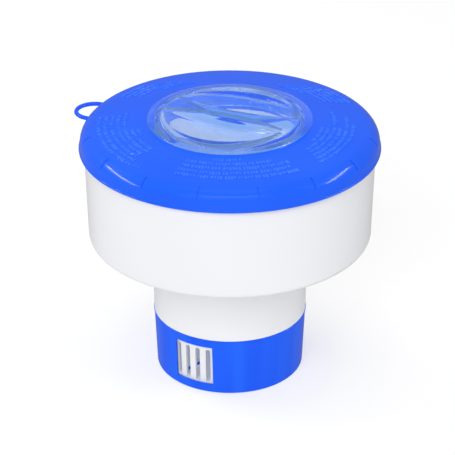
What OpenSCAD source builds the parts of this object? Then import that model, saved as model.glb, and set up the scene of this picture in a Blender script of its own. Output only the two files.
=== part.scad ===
// Floating dispenser for pool tablets: a sealed ring float round a tablet column,
// closed by a clear twist-lock cap and metered by a turning sleeve at its foot.
// Millimetres, +Z up. The origin is on the axis, in the plane that the sleeve stands on.

/* [Lid] */
// Outer diameter of the lid at the bottom of its skirt
lid_d = 180; // [178:1:184]
// Wall of the lid
lid_wall = 2.2; // [1.8:0.1:2.6]
// Radius of the rounded shoulder
shoulder_r = 8.7; // [7:0.1:10]
// Depth of the skirt, up to the shoulder
skirt_h = 4.1; // [3.5:0.1:6]
// How much narrower the skirt is at the shoulder than at the bottom
skirt_draft = 0.6; // [0.2:0.1:1]
// Radius of the domed deck
dome_r = 627; // [500:1:900]
// Index marks round the shoulder
marks = 16; // [8:1:24]
// Direction of one index mark, in degrees from +X
mark_dir = -124.4; // [-180:0.1:180]
// Direction of the tether loop, in degrees from +X
loop_dir = 157; // [140:1:170]
// Radius of the loop's centre line
loop_r = 11; // [9:0.5:12]
// Thickness of the loop's strand
loop_d = 2.6; // [2:0.1:3]

/* [Cap] */
// Diameter of the cap's flange
cap_d = 98.4; // [96:0.2:99]
// Wall of the cap
cap_wall = 1.8; // [1.5:0.1:2]
// Radius of the circle that the finger pockets end on
pocket_r = 38.9; // [36:0.1:39.2]
// Depth of the finger pockets in the middle
pocket_h = 7.4; // [6:0.1:8]
// Width of the grip bar at its waist
bar_w = 10.4; // [8:0.2:14]
// Radius of the grip bar's hollow sides
bar_side_r = 118; // [90:1:150]
// Direction of the grip bar, in degrees from +X
bar_dir = -24; // [-45:1:0]
// Play between each bayonet lug and its notch, in degrees
lug_play = 2; // [1.5:0.5:4]

/* [Float bowl] */
// Outer diameter of the bowl just above its bottom corner
bowl_d = 171.4; // [168:0.1:171.4]
// Depth of the bowl, from its underside at the column to the lid's skirt
bowl_h = 60.6; // [50:0.1:70]
// Wall of the bowl
bowl_wall = 2; // [1.6:0.1:2.4]
// Radius of the bowl's bottom corner
bowl_corner_r = 3.4; // [3:0.1:6]

/* [Tablet column] */
// Outer diameter of the column
column_d = 93.7; // [93.4:0.1:94]
// Wall of the column
column_wall = 1.9; // [1.7:0.1:2.2]
// Length of column that shows between the sleeve and the bowl
neck_h = 48; // [40:0.5:60]
// Feed slots in each group
slots = 4; // [2:1:4]
// Width of a feed slot
slot_w = 3; // [2:0.1:3.4]
// Height of a feed slot
slot_h = 23.5; // [18:0.1:24]
// Angle between feed slots
slot_pitch = 8.8; // [8:0.1:9]
// Direction of the middle of the first group of slots, in degrees from +X
slot_dir = -120.5; // [-122:0.1:-118]

/* [Flow sleeve] */
// Height of the sleeve
sleeve_h = 37.3; // [36.5:0.1:40]
// Outer diameter at the top of the sleeve
sleeve_top_d = 93.5; // [93:0.1:93.6]
// Outer diameter at the bottom of the sleeve
sleeve_bottom_d = 90.4; // [90:0.1:92]
// Wall of the sleeve
sleeve_wall = 1.3; // [1.2:0.1:1.5]
// Width of a window
window_w = 25; // [24:0.1:27]
// Height of a window
window_h = 26.4; // [26:0.1:27]
// Height of a window's lower edge
window_z = 5.5; // [5:0.1:6]
// Direction of the first window, in degrees from +X
window_dir = -119; // [-122:0.5:-116]
// Angle that the sleeve turns from open to shut
sleeve_turn = 36; // [34:1:36]
// Drain slots in each floor
drains = 5; // [5:1:5]

/* [Hidden] */
$fn = 180;
SLACK = 0.3;              // gap between parts that turn or slide on each other
EPS = 0.01;               // overlap that joins touching shapes
BIG = 400;                // larger than the whole part
BLUE = [0.13, 0.36, 0.96];
WHITE = [0.95, 0.95, 0.97];
CLEAR = [0.78, 0.88, 1, 0.4];

// Heights up the axis
neck_z = sleeve_h + SLACK;
bowl_z = neck_z + neck_h;
skirt_z = bowl_z + bowl_h;
shoulder_z = skirt_z + skirt_h;
rim_z = shoulder_z + 0.9;
column_top_z = skirt_z + 1.8;

// Lid: the shoulder is a circle that touches the dome from inside
lid_r = lid_d / 2;
shoulder_x = lid_r - skirt_draft - shoulder_r;
dome_z = shoulder_z - sqrt(pow(dome_r - shoulder_r, 2) - pow(shoulder_x, 2));
mouth_r = 45.6;
function deck_z(r) = dome_z + sqrt(dome_r * dome_r - r * r);
function touch_x(inset) = shoulder_x * (1 + (shoulder_r - inset) / (dome_r - shoulder_r));

// Cap: a crown that falls from a nearly flat top to the flange
flange_r = cap_d / 2;
flange_z = deck_z(mouth_r) + SLACK;
flange_h = 1.9;
rim_round_r = 0.8;
crown_z = flange_z + 4.7;
top_r = 1440;
crown_r = 36.8;
crown_x = 35.1;
crown_mid_z = crown_z - top_r + sqrt(pow(top_r - crown_r, 2) - pow(crown_x, 2));
plug_r = 43.4;
plug_z = flange_z - 11.2;
ledge_r = plug_r + 0.5;
ledge_z = flange_z - 7.8;
ledge_h = 2;
lug_r = mouth_r - 0.4;
lug_h = 2.8;
lug_angle = 14;
lugs = 2;

// Bowl: unit normals of the drafted wall and of the coned floor, which rises to the corner
wall_lean = 1.45;
floor_rise = 4.3;
wall_out = [cos(wall_lean), -sin(wall_lean)];
floor_out = [sin(floor_rise), -cos(floor_rise)];
corner_x = bowl_d / 2 - bowl_corner_r;
corner_z = bowl_z + (corner_x - column_d / 2) * tan(floor_rise) + bowl_corner_r / cos(floor_rise);
hub_h = 12;

// Column and sleeve: the foot follows the inside of the sleeve at a running gap
column_r = column_d / 2;
draft = (sleeve_top_d - sleeve_bottom_d) / 2 / sleeve_h;
function sleeve_r(z) = sleeve_bottom_d / 2 + draft * z;
function foot_r(z) = sleeve_r(z) - sleeve_wall - SLACK;
sleeve_floor_z = 2.2;
floor_h = 2;
column_floor_z = sleeve_floor_z + floor_h + SLACK;
slot_z = window_z + 0.4;
boss_r = 15.6;
boss_z = sleeve_floor_z - SLACK;
rivet_r = 6;
socket_top_z = column_floor_z + 1;
rivet_top_z = socket_top_z - 0.2;
retainer_r = 21;
drain_dir = 9;
drain_in = 22;
drain_out = 38;
drain_w = 6;
peg_r = 1.6;
peg_orbit = 30;
peg_dir = drain_dir + 54;

// Solid of revolution from r0 to r1 and from z0 to z1
module ring(r0, r1, z0, z1) {
    rotate_extrude() translate([r0, z0]) square([r1 - r0, z1 - z0]);
}

// Sector of a ring that starts at direction a and spans the given angle
module sector(r0, r1, z0, z1, a, span) {
    rotate([0, 0, a]) rotate_extrude(angle = span) translate([r0, z0]) square([r1 - r0, z1 - z0]);
}

// Half section under the lid's outer surface, taken in by inset
module lid_form(inset) {
    intersection() {
        translate([0, dome_z]) circle(r = dome_r - inset, $fn = 2880);
        translate([0, skirt_z]) square([touch_x(inset), 40]);
    }
    translate([shoulder_x, shoulder_z]) circle(r = shoulder_r - inset);
    polygon([
        [0, skirt_z - EPS], [lid_r - inset, skirt_z - EPS],
        [lid_r - skirt_draft - inset, shoulder_z], [0, shoulder_z]
    ]);
}

// Half section under the cap's outer surface, taken in by inset
module crown_form(inset) {
    join_x = crown_x * top_r / (top_r - crown_r) - inset * crown_x / (top_r - crown_r);
    intersection() {
        translate([0, crown_z - top_r]) circle(r = top_r - inset, $fn = 5760);
        translate([0, flange_z]) square([join_x, 40]);
    }
    intersection() {
        translate([crown_x, crown_mid_z]) circle(r = crown_r - inset, $fn = 360);
        translate([crown_x - 1, flange_z]) square([flange_r - rim_round_r - crown_x + 1, 40]);
    }
}

// One finger pocket, grown on every side: where three cylinders meet
module pocket(side, grow) {
    floor_r = 115;
    rotate([0, 0, bar_dir + (side > 0 ? 0 : 180)]) intersection() {
        translate([0, 0, plug_z]) cylinder(r = pocket_r + grow, h = 40);
        translate([0, bar_w / 2 + bar_side_r, plug_z]) cylinder(r = bar_side_r + grow, h = 40, $fn = 360);
        translate([0, 60, crown_z - pocket_h + floor_r])
            rotate([90, 0, 0]) cylinder(r = floor_r + grow, h = 120, $fn = 360);
    }
}

module clear_cap() {
    color(CLEAR) difference() {
        union() {
            rotate_extrude() {
                difference() {
                    crown_form(0);
                    intersection() {
                        crown_form(cap_wall);
                        square([plug_r - cap_wall, BIG]);
                    }
                }
                translate([plug_r, flange_z]) square([flange_r - rim_round_r - plug_r, flange_h]);
                translate([plug_r, flange_z]) square([flange_r - plug_r, flange_h - rim_round_r]);
                translate([flange_r - rim_round_r, flange_z + flange_h - rim_round_r]) circle(r = rim_round_r);
                translate([plug_r - cap_wall, plug_z]) square([cap_wall, flange_z + 1.5 - plug_z]);
            }
            for (side = [-1, 1]) intersection() {
                pocket(side, cap_wall);
                ring(0, pocket_r + cap_wall, plug_z, crown_z - 1.3);
            }
            for (i = [0 : lugs - 1]) {
                a = bar_dir + 90 + i * 360 / lugs;
                sector(plug_r - 0.5, lug_r, plug_z, plug_z + lug_h, a - lug_angle / 2, lug_angle);
                sector(pocket_r + 1, plug_r - 1, plug_z + 5, flange_z + 2, a - 3, 6);
            }
        }
        for (side = [-1, 1]) pocket(side, 0);
    }
}

// Thin groove that runs up the rounded shoulder
module index_mark() {
    depth = 0.4;
    mark_w = 0.8;
    translate([shoulder_x, mark_w / 2, shoulder_z]) rotate([90, 0, 0]) linear_extrude(mark_w) {
        intersection() {
            difference() {
                circle(r = shoulder_r + 1);
                circle(r = shoulder_r - depth);
            }
            polygon([[0, 0], [12, 5], [12, 12], [4, 12]]);
        }
    }
}

// Ring that a cord is tied to, on the side of the lid
module tether_loop() {
    difference() {
        rotate([0, 0, loop_dir]) translate([lid_r - 0.1, 0, shoulder_z + 2])
            rotate_extrude() translate([loop_r, 0]) circle(d = loop_d, $fn = 48);
        translate([0, 0, skirt_z]) cylinder(r = lid_r - lid_wall, h = 20);
    }
}

module lid_ring() {
    notch = lug_angle + 2 * lug_play;
    color(BLUE) {
        difference() {
            rotate_extrude() {
                difference() {
                    lid_form(0);
                    difference() {
                        lid_form(lid_wall);
                        translate([lid_r - 5.1, rim_z]) square([10, 20]);
                        translate([mouth_r, column_top_z]) square([lid_wall, 20]);
                    }
                    square([mouth_r, BIG]);
                    square([BIG, skirt_z]);
                }
                translate([mouth_r, column_top_z]) square([lid_wall, 6]);
                translate([column_r + 0.15, column_top_z - 6]) square([lid_wall, 8.5]);
                translate([lid_r - 0.5, skirt_z + 0.7]) circle(r = 0.7, $fn = 24);
            }
            for (i = [0 : marks - 1]) rotate([0, 0, mark_dir + i * 360 / marks]) index_mark();
        }
        for (i = [0 : lugs - 1]) {
            a = bar_dir + 90 + notch / 2 + i * 360 / lugs;
            sector(ledge_r, mouth_r + 0.5, ledge_z, ledge_z + ledge_h, a, 360 / lugs - notch);
        }
        tether_loop();
    }
}

// Half section of the bowl's outside, taken in by inset
module bowl_form(inset) {
    corner = [corner_x, corner_z];
    floor_start = [column_r, bowl_z] - inset * floor_out;
    wall_end = corner + (bowl_corner_r - inset) * wall_out
        + (skirt_z + 0.2 - corner_z) / cos(wall_lean) * [sin(wall_lean), cos(wall_lean)];
    translate(corner) circle(r = bowl_corner_r - inset, $fn = 96);
    polygon([
        floor_start, corner + (bowl_corner_r - inset) * floor_out, corner,
        corner + (bowl_corner_r - inset) * wall_out, wall_end, [column_r, wall_end[1]]
    ]);
}

module float_bowl() {
    rim_r = lid_r - 3.1;
    color(WHITE) rotate_extrude() difference() {
        union() {
            difference() {
                bowl_form(0);
                bowl_form(bowl_wall);
                translate([column_r, skirt_z - 1]) square([rim_r - bowl_wall - column_r, 10]);
            }
            translate([rim_r - bowl_wall, skirt_z - 1]) square([bowl_wall, rim_z - skirt_z + 1]);
            translate([column_r, bowl_z + 0.5]) square([bowl_wall, hub_h - 0.5]);
        }
        square([column_r + 0.1, BIG]);
    }
}

// Outline with round ends, from x0 to x1 along X and w wide
module stadium(x0, x1, w) {
    translate([x0 + w / 2, -w / 2]) square([x1 - x0 - w, w]);
    for (x = [x0 + w / 2, x1 - w / 2]) translate([x, 0]) circle(d = w, $fn = 48);
}

// Upright slot through the column's wall, cut outwards along +X
module feed_slot() {
    cut_in = foot_r(0) - 8;
    translate([cut_in, 0, 0]) rotate([0, 90, 0]) rotate([0, 0, 180])
        linear_extrude(20) stadium(slot_z, slot_z + slot_h, slot_w);
}

// Radial slots through a floor
module drain_slots(z0, z1) {
    for (i = [0 : drains - 1]) rotate([0, 0, drain_dir + i * 360 / drains]) translate([0, 0, z0])
        linear_extrude(z1 - z0) stadium(drain_in, drain_out, drain_w);
}

module tablet_column() {
    bore_r = column_r - column_wall;
    foot_top = neck_z - 0.5;
    floor_top = column_floor_z + floor_h;
    color(WHITE) {
        difference() {
            rotate_extrude() {
                polygon([
                    [bore_r, column_top_z], [column_r, column_top_z], [column_r, neck_z],
                    [foot_r(neck_z), neck_z], [foot_r(column_floor_z), column_floor_z],
                    [0, column_floor_z], [0, floor_top],
                    [foot_r(floor_top) - column_wall, floor_top],
                    [foot_r(foot_top) - column_wall, foot_top], [bore_r, foot_top + 6]
                ]);
                translate([bore_r + 0.5, bowl_z + hub_h]) square([bowl_wall + column_wall - 0.5, bowl_wall]);
                translate([0, boss_z]) square([boss_r, column_floor_z - boss_z + EPS]);
            }
            for (side = [0, 180], i = [0 : slots - 1]) {
                rotate([0, 0, slot_dir + side + (i - (slots - 1) / 2) * slot_pitch]) feed_slot();
            }
            drain_slots(column_floor_z - 1, floor_top + 1);
            ring(0, rivet_r, boss_z - 1, socket_top_z);
        }
        rotate([0, 0, peg_dir]) translate([peg_orbit, 0, sleeve_floor_z + 0.4])
            cylinder(r = peg_r, h = column_floor_z - sleeve_floor_z - 0.4 + EPS, $fn = 48);
    }
}

module flow_sleeve() {
    edge_r = 0.8;
    lip = 0.35;
    track_w = peg_r + 0.5;
    bead_z = sleeve_h - 1.6;
    foot_in = sleeve_bottom_d / 2 - 2.6;
    color(BLUE) difference() {
        rotate_extrude() {
            polygon([
                [sleeve_r(edge_r), edge_r], [sleeve_r(bead_z), bead_z],
                [sleeve_r(bead_z) + lip, bead_z + 0.5], [sleeve_r(sleeve_h) + lip, sleeve_h - 0.3],
                [sleeve_r(sleeve_h), sleeve_h], [sleeve_r(sleeve_h) - sleeve_wall, sleeve_h],
                [sleeve_r(sleeve_floor_z) - sleeve_wall, sleeve_floor_z], [foot_in, sleeve_floor_z],
                [foot_in, 0], [sleeve_r(0) - edge_r, 0]
            ]);
            translate([sleeve_r(edge_r) - edge_r, edge_r]) circle(r = edge_r, $fn = 48);
            translate([boss_r + 0.5, sleeve_floor_z])
                square([sleeve_r(sleeve_floor_z) - boss_r - 1, floor_h]);
        }
        for (side = [0, 180]) rotate([0, 0, window_dir + side]) {
            translate([30, -window_w / 2, window_z]) cube([30, window_w, window_h]);
        }
        drain_slots(sleeve_floor_z - 1, sleeve_floor_z + floor_h + 1);
        sector(peg_orbit - track_w, peg_orbit + track_w, sleeve_floor_z - 1, sleeve_floor_z + floor_h + 1,
            peg_dir - sleeve_turn, sleeve_turn);
        for (a = [peg_dir - sleeve_turn, peg_dir]) rotate([0, 0, a]) {
            translate([peg_orbit, 0, sleeve_floor_z - 1]) cylinder(r = track_w, h = floor_h + 2, $fn = 48);
        }
    }
}

// Disc and plug pressed into the column's boss, which holds the sleeve on
module base_retainer() {
    edge = 0.5;
    groove = [14, 16, 0.6];
    color(BLUE) rotate_extrude() difference() {
        union() {
            polygon([[0, 0], [retainer_r - edge, 0], [retainer_r, edge], [retainer_r, boss_z], [0, boss_z]]);
            translate([0, boss_z - EPS]) square([rivet_r, rivet_top_z - boss_z + EPS]);
        }
        translate([groove[0], -1]) square([groove[1] - groove[0], groove[2] + 1]);
    }
}

clear_cap();
lid_ring();
float_bowl();
tablet_column();
flow_sleeve();
base_retainer();
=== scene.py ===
"""Looks of the floating dispenser: materials, finely rounded cap, raised marks, studio, camera."""

import math

import bpy
import numpy as np
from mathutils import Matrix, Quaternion, Vector


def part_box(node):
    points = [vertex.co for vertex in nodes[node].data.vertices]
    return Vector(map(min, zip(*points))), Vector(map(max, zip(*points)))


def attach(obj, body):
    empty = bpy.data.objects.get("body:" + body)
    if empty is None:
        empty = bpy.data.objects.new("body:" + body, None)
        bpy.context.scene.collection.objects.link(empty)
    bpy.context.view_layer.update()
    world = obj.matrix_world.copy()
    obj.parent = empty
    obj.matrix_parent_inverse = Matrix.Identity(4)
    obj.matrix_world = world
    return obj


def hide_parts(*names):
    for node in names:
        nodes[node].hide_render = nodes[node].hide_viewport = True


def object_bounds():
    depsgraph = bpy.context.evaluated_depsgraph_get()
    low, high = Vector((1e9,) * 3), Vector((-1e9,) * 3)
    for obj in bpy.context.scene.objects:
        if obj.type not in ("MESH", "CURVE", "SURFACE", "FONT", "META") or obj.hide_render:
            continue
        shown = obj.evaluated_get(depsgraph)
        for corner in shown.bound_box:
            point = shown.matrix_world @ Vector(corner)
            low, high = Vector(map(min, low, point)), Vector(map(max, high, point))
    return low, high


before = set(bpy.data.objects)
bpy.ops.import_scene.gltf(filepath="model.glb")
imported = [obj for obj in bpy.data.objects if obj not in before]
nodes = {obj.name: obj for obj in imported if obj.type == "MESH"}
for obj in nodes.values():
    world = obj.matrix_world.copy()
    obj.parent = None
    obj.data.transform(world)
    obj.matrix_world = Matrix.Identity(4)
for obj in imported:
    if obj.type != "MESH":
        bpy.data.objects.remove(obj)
cad_lo, cad_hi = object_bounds()


# ---------------------------------------------------------------- materials


def new_material(name):
    mat = bpy.data.materials.new(name)
    mat.use_nodes = True
    tree = mat.node_tree
    tree.nodes.clear()
    out = tree.nodes.new("ShaderNodeOutputMaterial")
    bsdf = tree.nodes.new("ShaderNodeBsdfPrincipled")
    tree.links.new(bsdf.outputs["BSDF"], out.inputs["Surface"])
    return mat, tree, bsdf


def add_object(name, data):
    obj = bpy.data.objects.new(name, data)
    bpy.context.scene.collection.objects.link(obj)
    return obj


def feed(tree, socket, value):
    """Links value to a socket if it is a socket too, and sets it otherwise."""
    if isinstance(value, bpy.types.NodeSocket):
        tree.links.new(value, socket)
    else:
        socket.default_value = value


def math_node(tree, operation, *values, kind="Math"):
    """A Math or VectorMath node on the given sockets and constants."""
    node = tree.nodes.new("ShaderNode" + kind)
    node.operation = operation
    for socket, value in zip(node.inputs, values):
        feed(tree, socket, value)
    scalar = kind == "Math" or operation in ("DOT_PRODUCT", "LENGTH")
    return node.outputs["Value" if scalar else "Vector"]


def mix_shaders(tree, fac, first, second):
    node = tree.nodes.new("ShaderNodeMixShader")
    for socket, value in zip(node.inputs, (fac, first, second)):
        feed(tree, socket, value)
    return node.outputs["Shader"]


def object_coords(tree):
    return tree.nodes.new("ShaderNodeTexCoord").outputs["Object"]


def noise(tree, scale, detail=3.0, rough=0.5, stretch=(1, 1, 1)):
    """Noise in object coordinates, in features per metre."""
    mapping = tree.nodes.new("ShaderNodeMapping")
    mapping.inputs["Scale"].default_value = stretch
    tex = tree.nodes.new("ShaderNodeTexNoise")
    tex.inputs["Scale"].default_value = scale
    tex.inputs["Detail"].default_value = detail
    tex.inputs["Roughness"].default_value = rough
    tree.links.new(object_coords(tree), mapping.inputs["Vector"])
    tree.links.new(mapping.outputs["Vector"], tex.inputs["Vector"])
    return tex.outputs["Fac"]


def ramp(tree, fac, low, high, a=0.3, b=0.7):
    """Maps fac from a..b to the colours or greys low..high."""
    node = tree.nodes.new("ShaderNodeValToRGB")
    node.color_ramp.elements[0].position = a
    node.color_ramp.elements[1].position = b
    for element, value in zip(node.color_ramp.elements, (low, high)):
        element.color = (*value, 1) if isinstance(value, tuple) else (value, value, value, 1)
    tree.links.new(fac, node.inputs["Fac"])
    return node.outputs["Color"]


def bump(tree, bsdf, height, distance, strength=1.0):
    node = tree.nodes.new("ShaderNodeBump")
    node.inputs["Strength"].default_value = strength
    node.inputs["Distance"].default_value = distance
    tree.links.new(height, node.inputs["Height"])
    tree.links.new(node.outputs["Normal"], bsdf.inputs["Normal"])


GRAIN_SCALE, GRAIN_DEPTH = 900, 0.00002


def moulded(
    name, dark, light, rough=(0.20, 0.26), specular=0.4, drift=22, cloud=60, flow=(1, 1, 1)
):
    """Injection-moulded plastic: slow colour drift, cloudy gloss and a fine surface grain.
    Drift and cloud are the noises' scales, and flow stretches them along the mould's flow."""
    mat, tree, bsdf = new_material(name)
    drift = noise(tree, drift, 1.0, stretch=flow)
    tree.links.new(ramp(tree, drift, dark, light, 0.2, 0.8), bsdf.inputs["Base Color"])
    cloud = noise(tree, cloud, 1.0, stretch=flow)
    tree.links.new(ramp(tree, cloud, rough[0], rough[1], 0.15, 0.85), bsdf.inputs["Roughness"])
    bump(tree, bsdf, noise(tree, GRAIN_SCALE, 2.0), GRAIN_DEPTH)
    bsdf.inputs["IOR"].default_value = 1.5
    bsdf.inputs["Specular IOR Level"].default_value = specular
    return mat


BAR_DIR = math.radians(-24)
CLEAR_IOR, CLEAR_ROUGH = 1.47, (0.01, 0.05)
RIPPLE_SCALE, RIPPLE_DEPTH = 120, 0.00003
CLEAR_HAZE, HAZE_SPREAD, HAZE_COLOR = 0.055, 0.3, (0.30, 0.52, 1)
CLEAR_TINT, CLEAR_DENSITY = (0.10, 0.46, 0.99), 60
# Painted light: a faint blue glow that the clear plastic emits, though it is no lamp
PAINTED_GLOW_COLOR, PAINTED_GLOW = (0.08, 0.38, 1), 0.05
# Tint of the surfaces on the grip bar and off it, and the distances from its line for the fade
BAR_TINT, PLAIN_TINT = (0.50, 0.72, 1), (0.97, 0.99, 1)
BAR_TINT_FADE = (0.005, 0.010)
# A ray that has been reflected or bent more often than this goes straight on
MAX_REFLECTED, MAX_DEPTH = 2.5, 8.5


def clear_plastic(name):
    """Clear moulding with a light blue tint that deepens with the length of plastic seen through,
    a slight haze, and a faint painted blue glow, an emission though the cap is no lamp. Lamps and
    bounced light pass straight through its surfaces, so the inside is lit, and so does a ray caught
    in it for long."""
    mat, tree, bsdf = new_material(name)
    bsdf.inputs["Transmission Weight"].default_value = 1
    bsdf.inputs["Emission Color"].default_value = (*PAINTED_GLOW_COLOR, 1)
    bsdf.inputs["Emission Strength"].default_value = PAINTED_GLOW
    bsdf.inputs["IOR"].default_value = CLEAR_IOR
    tree.links.new(ramp(tree, noise(tree, 40, 2.0), *CLEAR_ROUGH), bsdf.inputs["Roughness"])
    bump(tree, bsdf, noise(tree, RIPPLE_SCALE, 2.0), RIPPLE_DEPTH)
    over_bar = (-math.sin(BAR_DIR), math.cos(BAR_DIR), 0)
    off_line = math_node(tree, "DOT_PRODUCT", object_coords(tree), over_bar, kind="VectorMath")
    off_line = math_node(tree, "ABSOLUTE", off_line)
    tint = ramp(tree, off_line, BAR_TINT, PLAIN_TINT, *BAR_TINT_FADE)
    tree.links.new(tint, bsdf.inputs["Base Color"])

    veil = tree.nodes.new("ShaderNodeBsdfDiffuse")
    veil.inputs["Color"].default_value = (*HAZE_COLOR, 1)
    thin, thick = CLEAR_HAZE * (1 - HAZE_SPREAD), CLEAR_HAZE * (1 + HAZE_SPREAD)
    haze = ramp(tree, noise(tree, 90, 3.0), thin, thick)
    hazy = mix_shaders(tree, haze, bsdf.outputs["BSDF"], veil.outputs["BSDF"])

    ray = tree.nodes.new("ShaderNodeLightPath").outputs
    straight = math_node(tree, "MAXIMUM", ray["Is Shadow Ray"], ray["Is Diffuse Ray"])
    for depth, limit in (("Glossy Depth", MAX_REFLECTED), ("Ray Depth", MAX_DEPTH)):
        caught = math_node(tree, "GREATER_THAN", ray[depth], limit)
        straight = math_node(tree, "MAXIMUM", straight, caught)
    through = tree.nodes.new("ShaderNodeBsdfTransparent").outputs["BSDF"]

    absorb = tree.nodes.new("ShaderNodeVolumeAbsorption")
    absorb.inputs["Color"].default_value = (*CLEAR_TINT, 1)
    absorb.inputs["Density"].default_value = CLEAR_DENSITY
    out = next(n for n in tree.nodes if n.type == "OUTPUT_MATERIAL")
    tree.links.new(mix_shaders(tree, straight, hazy, through), out.inputs["Surface"])
    tree.links.new(absorb.outputs["Volume"], out.inputs["Volume"])
    return mat


def paint_bore_light(mat, r_max, z_min, color):
    """Paints light into the inside of the column: a lighter white than its outside, standing in for
    the light that reaches the bore.
    """
    tree = mat.node_tree
    bsdf = next(n for n in tree.nodes if n.type == "BSDF_PRINCIPLED")
    coords = object_coords(tree)
    flat = math_node(tree, "MULTIPLY", coords, (1, 1, 0), kind="VectorMath")
    inside = math_node(
        tree, "LESS_THAN", math_node(tree, "LENGTH", flat, kind="VectorMath"), r_max
    )
    split = tree.nodes.new("ShaderNodeSeparateXYZ")
    tree.links.new(coords, split.inputs["Vector"])
    above = math_node(tree, "GREATER_THAN", split.outputs["Z"], z_min)
    mix = tree.nodes.new("ShaderNodeMixRGB")
    feed(tree, mix.inputs["Fac"], math_node(tree, "MULTIPLY", inside, above))
    feed(tree, mix.inputs["Color1"], bsdf.inputs["Base Color"].links[0].from_socket)
    feed(tree, mix.inputs["Color2"], (*color, 1))
    tree.links.new(mix.outputs["Color"], bsdf.inputs["Base Color"])


lid_mat = moulded("lid_blue", (0.009, 0.106, 0.88), (0.014, 0.122, 0.95), rough=(0.11, 0.14))
# Painted highlight: the raised dashes get a lighter blue than the deck, standing in for the light
# their edges catch
raised_highlight_mat = moulded("lid_blue_raised_highlight", (0.018, 0.145, 0.90), (0.048, 0.205, 0.96), drift=160)
sleeve_mat = moulded(
    "sleeve_blue",
    (0.003, 0.090, 0.90),
    (0.011, 0.135, 0.97),
    specular=0.3,
    drift=85,
    flow=(1, 1, 0.1),
)
white_mat = moulded(
    "float_white",
    (0.825, 0.83, 0.855),
    (0.845, 0.85, 0.875),
    rough=(0.27, 0.30),
    drift=14,
    cloud=18,
)
# Painted light: the column's inside above BORE_Z gets a lighter white, in place of the light that
# reaches it
BORE_R, BORE_Z, BORE_PAINTED_LIGHT = 0.0452, 0.040, (0.93, 0.95, 0.985)
paint_bore_light(white_mat, BORE_R, BORE_Z, BORE_PAINTED_LIGHT)
cap_mat = clear_plastic("cap_clear")

for node, mat in {
    "lid_ring": lid_mat,
    "flow_sleeve": sleeve_mat,
    "base_retainer": sleeve_mat,
    "float_bowl": white_mat,
    "tablet_column": white_mat,
    "clear_cap": cap_mat,
}.items():
    obj = nodes[node]
    obj.data.materials.clear()
    obj.data.materials.append(mat)


# ---------------------------------------------------------------- finely rounded cap

MM = 0.001
FLANGE_R, FLANGE_H, FLANGE_ROUND = 49.2, 1.9, 0.7
CROWN_RISE, TOP_R, CROWN_R, CROWN_X = 4.7, 1440.0, 36.8, 35.1
CAP_WALL, END_FILL = 1.8, 1.4
PLUG_R, PLUG_DEPTH = 43.4, 11.2
POCKET_R, POCKET_DEPTH, POCKET_FLOOR_R = 38.9, 7.4, 115.0
BAR_HALF, BAR_SIDE_R = 5.2, 118.0
LUG_R, LUG_H, LUG_HALF = 45.2, 2.8, math.radians(7)
RIB_OFF, RIB_HALF_W, RIB_IN, RIB_HALF_L, RIB_RISE, RIB_HALF_H = 1.7, 0.45, 2.5, 1.6, 9, 4
SHELL_DROP, SHELL_COVER = 1.3, 0.4
END_ROUND, BAR_ROUND = 0.8, 2.6
CAP_GRID, CAP_MARGIN = 0.6, 1


def smax(a, b, k):
    """Maximum with its crease rounded over a width of k."""
    h = np.maximum(k - np.abs(a - b), 0) / k
    return np.maximum(a, b) + h * h * k / 4


def smin(a, b, k):
    return -smax(-a, -b, k)


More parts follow.
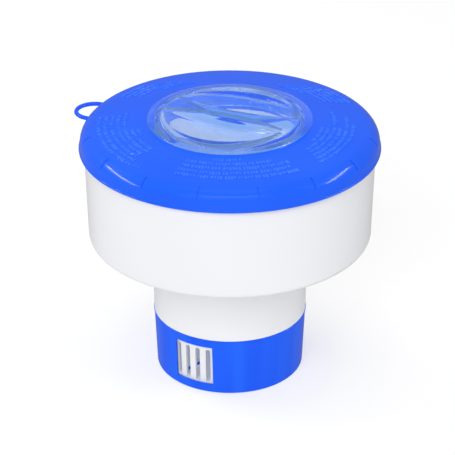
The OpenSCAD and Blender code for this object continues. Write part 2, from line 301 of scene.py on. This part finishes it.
def cap_distance(x, y, z, crown_z):
    """Signed distance, in millimetres, to the cap's surface: negative in the plastic."""
    r = np.hypot(x, y)
    flange_z = crown_z - CROWN_RISE
    plug_z = flange_z - PLUG_DEPTH
    mid_z = crown_z - TOP_R + math.sqrt((TOP_R - CROWN_R) ** 2 - CROWN_X**2)
    top_z = crown_z - TOP_R
    on_top = (z - top_z) * CROWN_X > r * (mid_z - top_z)
    crown = np.where(
        on_top, np.hypot(r, z - top_z) - TOP_R, np.hypot(r - CROWN_X, z - mid_z) - CROWN_R
    )
    dome = smax(smax(crown, flange_z - z, 0.4), r - FLANGE_R + 0.7, 0.4)
    half_w, half_h = (FLANGE_R - PLUG_R) / 2 + 1, FLANGE_H / 2
    u = np.abs(r - (FLANGE_R - half_w)) - half_w + FLANGE_ROUND
    v = np.abs(z - flange_z - half_h) - half_h + FLANGE_ROUND
    flange = np.hypot(np.maximum(u, 0), np.maximum(v, 0)) + np.minimum(np.maximum(u, v), 0)
    body = smin(dome, flange - FLANGE_ROUND, 1.0)
    wall = smax(np.abs(r - PLUG_R + CAP_WALL / 2) - CAP_WALL / 2, plug_z - z, 0.6)
    body = smin(body, np.maximum(wall, z - flange_z - 1), 0.8)
    body = smax(body, -smax(crown + CAP_WALL, r - PLUG_R + CAP_WALL, 1.5), 0.5)
    pockets = []
    for side in (1, -1):
        along = (x * math.cos(BAR_DIR) + y * math.sin(BAR_DIR)) * side
        across = (y * math.cos(BAR_DIR) - x * math.sin(BAR_DIR)) * side
        round_end = r - POCKET_R
        bar_side = np.hypot(along, across - BAR_HALF - BAR_SIDE_R) - BAR_SIDE_R
        floor = np.hypot(along, z - crown_z + POCKET_DEPTH - POCKET_FLOOR_R) - POCKET_FLOOR_R
        plan = smax(round_end, bar_side, 1.6)
        outer_plan = smax(round_end - END_FILL, bar_side, 1.6)
        shell = smax(outer_plan - CAP_WALL, floor - CAP_WALL, 2.6)
        shell = np.maximum(np.maximum(shell, z - crown_z + SHELL_DROP), crown + SHELL_COVER)
        body = smin(body, shell, 0.8)
        by_bar = np.clip((bar_side - round_end) / 8 + 0.5, 0, 1)
        pockets.append((smax(plan, floor, 3.0), by_bar))
    for side in (1, -1):
        lug_dir = BAR_DIR + side * math.pi / 2
        turn = np.arctan2(y, x) - lug_dir
        turn = np.abs(np.arctan2(np.sin(turn), np.cos(turn)))
        sideways = turn * r
        lug = np.maximum(np.maximum(r - LUG_R, PLUG_R - 0.8 - r), sideways - LUG_HALF * LUG_R)
        lug = smax(lug, np.abs(z - plug_z - LUG_H / 2) - LUG_H / 2, 0.6)
        body = smin(body, lug, 0.5)
        rib = np.abs(sideways - RIB_OFF) - RIB_HALF_W
        rib = np.maximum(rib, np.abs(r - PLUG_R + RIB_IN) - RIB_HALF_L)
        rib = np.maximum(rib, np.abs(z - plug_z - RIB_RISE) - RIB_HALF_H)
        body = smin(body, rib, 0.5)
    for pocket, by_bar in pockets:
        body = np.maximum(body, smax(crown, -pocket, END_ROUND + BAR_ROUND * by_bar))
    return body


def surface_nets(distance, lo, hi, step):
    """Quads and unit normals of the zero level of distance(x, y, z), on a grid from lo to hi."""
    axes = [np.arange(a, b + step, step) for a, b in zip(lo, hi)]
    x, y, z = np.meshgrid(*axes, indexing="ij")
    value = distance(x, y, z)
    inside = value < 0
    shape = np.array(value.shape) - 1
    total = np.zeros((*shape, 3))
    count = np.zeros(shape)
    corner = [slice(0, -1), slice(1, None)]
    for axis in range(3):
        others = [a for a in range(3) if a != axis]
        for p in (0, 1):
            for q in (0, 1):
                cut = [None] * 3
                cut[others[0]], cut[others[1]] = corner[p], corner[q]
                cut[axis] = corner[0]
                a = value[tuple(cut)]
                cut[axis] = corner[1]
                b = value[tuple(cut)]
                hit = (a < 0) != (b < 0)
                t = np.where(hit, a / np.where(hit, a - b, 1), 0)
                count += hit
                total[..., axis] += t
                total[..., others[0]] += hit * p
                total[..., others[1]] += hit * q
    active = count > 0
    index = np.full(shape, -1)
    index[active] = np.arange(active.sum())
    cell = np.argwhere(active)
    points = (cell + total[active] / count[active][:, None]) * step + np.array([a[0] for a in axes])
    quads = []
    for axis in range(3):
        others = [a for a in range(3) if a != axis]
        first, second = [slice(1, -1)] * 3, [slice(1, -1)] * 3
        first[axis], second[axis] = slice(0, -1), slice(1, None)
        a, b = inside[tuple(first)], inside[tuple(second)]
        for outward in (True, False):
            at = np.argwhere((a & ~b) if outward else (b & ~a))
            at[:, others[0]] += 1
            at[:, others[1]] += 1
            ring = []
            for p, q in ((1, 1), (0, 1), (0, 0), (1, 0)):
                c = at.copy()
                c[:, others[0]] -= p
                c[:, others[1]] -= q
                ring.append(index[tuple(c.T)])
            flip = outward == (axis == 1)
            quads.append(np.stack(ring[::-1] if flip else ring, axis=1))
    quads = np.concatenate(quads)

    def gradient(p, h=0.02):
        g = np.empty_like(p)
        for axis in range(3):
            d = np.zeros(3)
            d[axis] = h
            g[:, axis] = (distance(*(p + d).T) - distance(*(p - d).T)) / (2 * h)
        return g

    for _ in range(4):
        g = gradient(points)
        move = distance(*points.T)[:, None] * g / np.maximum((g * g).sum(1), 0.2)[:, None]
        length = np.linalg.norm(move, axis=1)[:, None]
        points = points - move * np.minimum(1, 0.3 * step / np.maximum(length, 1e-9))
    g = gradient(points)
    return points, quads, g / np.linalg.norm(g, axis=1)[:, None]


def make_cap():
    lo, hi = (np.array(c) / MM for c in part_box("clear_cap"))
    crown_z = hi[2]
    reach = FLANGE_R + CAP_MARGIN
    start = (-reach, -reach, lo[2] - CAP_MARGIN)
    end = (reach, reach, crown_z + CAP_MARGIN)
    points, quads, normals = surface_nets(
        lambda x, y, z: cap_distance(x, y, z, crown_z), start, end, CAP_GRID
    )
    mesh = bpy.data.meshes.new("clear_cap_fine")
    mesh.from_pydata((points * MM).tolist(), [], quads.tolist())
    mesh.shade_smooth()
    mesh.normals_split_custom_set_from_vertices(normals.tolist())
    mesh.materials.append(cap_mat)
    obj = add_object("clear_cap_fine", mesh)
    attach(obj, "cap_body")
    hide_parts("clear_cap")


make_cap()

# ---------------------------------------------------------------- raised dashes on the deck

DOME_R, MOUTH_R = 627.0, 45.6
# Each row: radius, first and last azimuth in degrees from the front towards the right
DASH_ROWS = [
    (78.2, -98, -42), (74.3, -98, -48), (70.4, -99, -50), (66.6, -100, -51), (62.9, -102, -49),
    (59.0, -80, -51), (55.6, -79, -69),
    (73.3, -26, 31), (68.7, -26, 30), (63.7, -26, 30), (58.9, -26, 24), (54.2, -11, 7),
    (73.3, 44, 88), (69.6, 45, 96), (65.9, 46, 83), (62.4, 47, 103), (58.9, 48, 83), (55.5, 58, 80),
    (78.7, 112, 132), (75.4, 113, 136), (71.9, 114, 140), (68.5, 115, 143), (65.0, 117, 148),
    (61.5, 133, 150),
    (77.5, -138, -122), (74.0, -146, -122), (70.5, -152, -124), (67.0, -158, -126),
    (63.5, -160, -140),
]
DASH_RAISE, DASH_SINK, DASH_EDGE = 0.35, 0.3, 0.15
DASH_HEIGHT, FRONT_DASH_HEIGHT, FRONT_AZIMUTHS = 2.5, 3.1, (-26, -11)
DASH_WIDTH, DASH_GAP, WORD_GAP = (0.9, 1.6), 0.5, (0.7, 1.0)
TALL_SHARE, LOW_DASH = 0.6, 0.72


def make_dashes():
    """Plain raised blocks in rows, some of full height and some lower: a generic pattern."""
    rng = np.random.default_rng(7)
    dome_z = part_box("lid_ring")[1].z / MM - math.sqrt(DOME_R**2 - MOUTH_R**2)
    points, faces = [], []

    def block(r0, r1, a0, a1):
        start = len(points)
        for inset, rise in ((0, -DASH_SINK), (0, DASH_RAISE - DASH_EDGE), (DASH_EDGE, DASH_RAISE)):
            corners = ((r0, a0, 1, 1), (r0, a1, 1, -1), (r1, a1, -1, -1), (r1, a0, -1, 1))
            for r, a, sr, sa in corners:
                radius, turn = r + sr * inset, a + sa * inset / r0
                z = dome_z + math.sqrt(DOME_R**2 - radius**2) + rise
                points.append((radius * math.sin(turn) * MM, -radius * math.cos(turn) * MM, z * MM))
        for ring in (0, 4):
            for i in range(4):
                j = (i + 1) % 4
                side = (ring + i, ring + 4 + i, ring + 4 + j, ring + j)
                faces.append(tuple(start + k for k in side))
        faces.append(tuple(start + k for k in (0, 1, 2, 3)))
        faces.append(tuple(start + k for k in (11, 10, 9, 8)))

    for radius, first, last in DASH_ROWS:
        height = FRONT_DASH_HEIGHT if first in FRONT_AZIMUTHS else DASH_HEIGHT
        at, end, left = math.radians(first), math.radians(last), 0
        while at < end:
            if left <= 0:
                left = int(rng.integers(2, 8))
                at += rng.uniform(*WORD_GAP) / radius
            width = rng.uniform(*DASH_WIDTH) / radius
            low = radius - height / 2
            high = low + height * (1.0 if rng.random() < TALL_SHARE else LOW_DASH)
            block(low, high, at, at + width)
            at += width + DASH_GAP / radius
            left -= 1
    mesh = bpy.data.meshes.new("lid_raised_dashes")
    mesh.from_pydata(points, [], faces)
    # The dashes carry the lighter blue with the painted highlight
    mesh.materials.append(raised_highlight_mat)
    obj = add_object("lid_raised_dashes", mesh)
    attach(obj, "float_body")


make_dashes()

# ---------------------------------------------------------------- stage and camera

FLOOR_SIZE, FLOOR_DROP = 24.0, 0.0002
FLOOR_ALBEDO, FLOOR_GLOW = (0.42, 0.44), 0.56


def make_floor():
    mesh = bpy.data.meshes.new("floor")
    h = FLOOR_SIZE / 2
    mesh.from_pydata([(-h, -h, 0), (h, -h, 0), (h, h, 0), (-h, h, 0)], [], [(0, 1, 2, 3)])
    obj = add_object("floor", mesh)
    mat, tree, bsdf = new_material("floor_pale")
    tree.links.new(ramp(tree, noise(tree, 3, 2.0), *FLOOR_ALBEDO), bsdf.inputs["Base Color"])
    bsdf.inputs["Roughness"].default_value = 0.9
    bsdf.inputs["Specular IOR Level"].default_value = 0.1
    bsdf.inputs["Emission Color"].default_value = (1, 1, 1, 1)
    bsdf.inputs["Emission Strength"].default_value = FLOOR_GLOW
    mesh.materials.append(mat)
    obj.location.z = cad_lo.z - FLOOR_DROP
    obj.visible_glossy = False


LAMPS_AIM_Z, STRIPS_AWAY = 0.1, 1.7


def softbox(name, azimuth, elevation, power, size=(1.2, 1.2), distance=2.2, seen="diffuse", tilt=0):
    """Area lamp that faces the object. Azimuth runs from the front to the right, in degrees.
    The broad lamps light the surfaces, and the strips are seen only as highlights in them."""
    light = bpy.data.lights.new(name, "AREA")
    light.shape = "RECTANGLE"
    light.size, light.size_y = size
    light.energy = power
    obj = add_object(name, light)
    a, e = math.radians(azimuth), math.radians(elevation)
    away = Vector((math.sin(a) * math.cos(e), -math.cos(a) * math.cos(e), math.sin(e)))
    obj.location = Vector((0, 0, LAMPS_AIM_Z)) + away * distance
    obj.rotation_mode = "QUATERNION"
    spin = Quaternion((0, 0, 1), math.radians(tilt))
    obj.rotation_quaternion = (-away).to_track_quat("-Z", "Y") @ spin
    obj.visible_glossy = seen != "diffuse"
    obj.visible_diffuse = seen != "glossy"


make_floor()
softbox("front_left", -20, 35, 24)
softbox("front_right", 20, 35, 4)
softbox("side_right", 80, 35, 11)
softbox("rear_left", -120, 35, 20)
softbox("rear_right", 120, 35, 4)
softbox("overhead", 0, 90, 12)
softbox("strip_left", -92, 26, 6, (1.3, 0.1), STRIPS_AWAY, "glossy", -22)
softbox("strip_right", 93, 31, 4.5, (1.1, 0.1), STRIPS_AWAY, "glossy", 25)
softbox("strip_front", 0, 44.5, 1.0, (1.2, 0.2), STRIPS_AWAY, "glossy")

# Strength of the plain white surroundings, and how much more the camera sees of it, directly or
# through the clear plastic
SKY, SKY_THROUGH, SKY_BEHIND = 0.25, 0.20, 0.75
world = bpy.data.worlds.new("studio")
world.use_nodes = True
sky = world.node_tree
ray = sky.nodes.new("ShaderNodeLightPath").outputs
strength = math_node(sky, "MULTIPLY_ADD", ray["Is Transmission Ray"], SKY_THROUGH, SKY)
strength = math_node(sky, "MULTIPLY_ADD", ray["Is Camera Ray"], SKY_BEHIND, strength)
background = sky.nodes["Background"]
background.inputs["Color"].default_value = (1, 1, 1, 1)
sky.links.new(strength, background.inputs["Strength"])
bpy.context.scene.world = world

CAM_DISTANCE = 1.300
CAM_ELEVATION = math.radians(27.52)
CAM_AIM_Z = 0.09055
cam = bpy.data.cameras.new("camera")
cam.sensor_width = 36
cam.lens = 168.89
cam.shift_x = -0.0053
cam.clip_start, cam.clip_end = 0.05, 100
cam_obj = add_object("camera", cam)
cam_obj.location = (
    0,
    -CAM_DISTANCE * math.cos(CAM_ELEVATION),
    CAM_AIM_Z + CAM_DISTANCE * math.sin(CAM_ELEVATION),
)
cam_obj.rotation_euler = (math.pi / 2 - CAM_ELEVATION, 0, 0)
bpy.context.scene.camera = cam_obj
bpy.context.scene.view_settings.view_transform = "Standard"
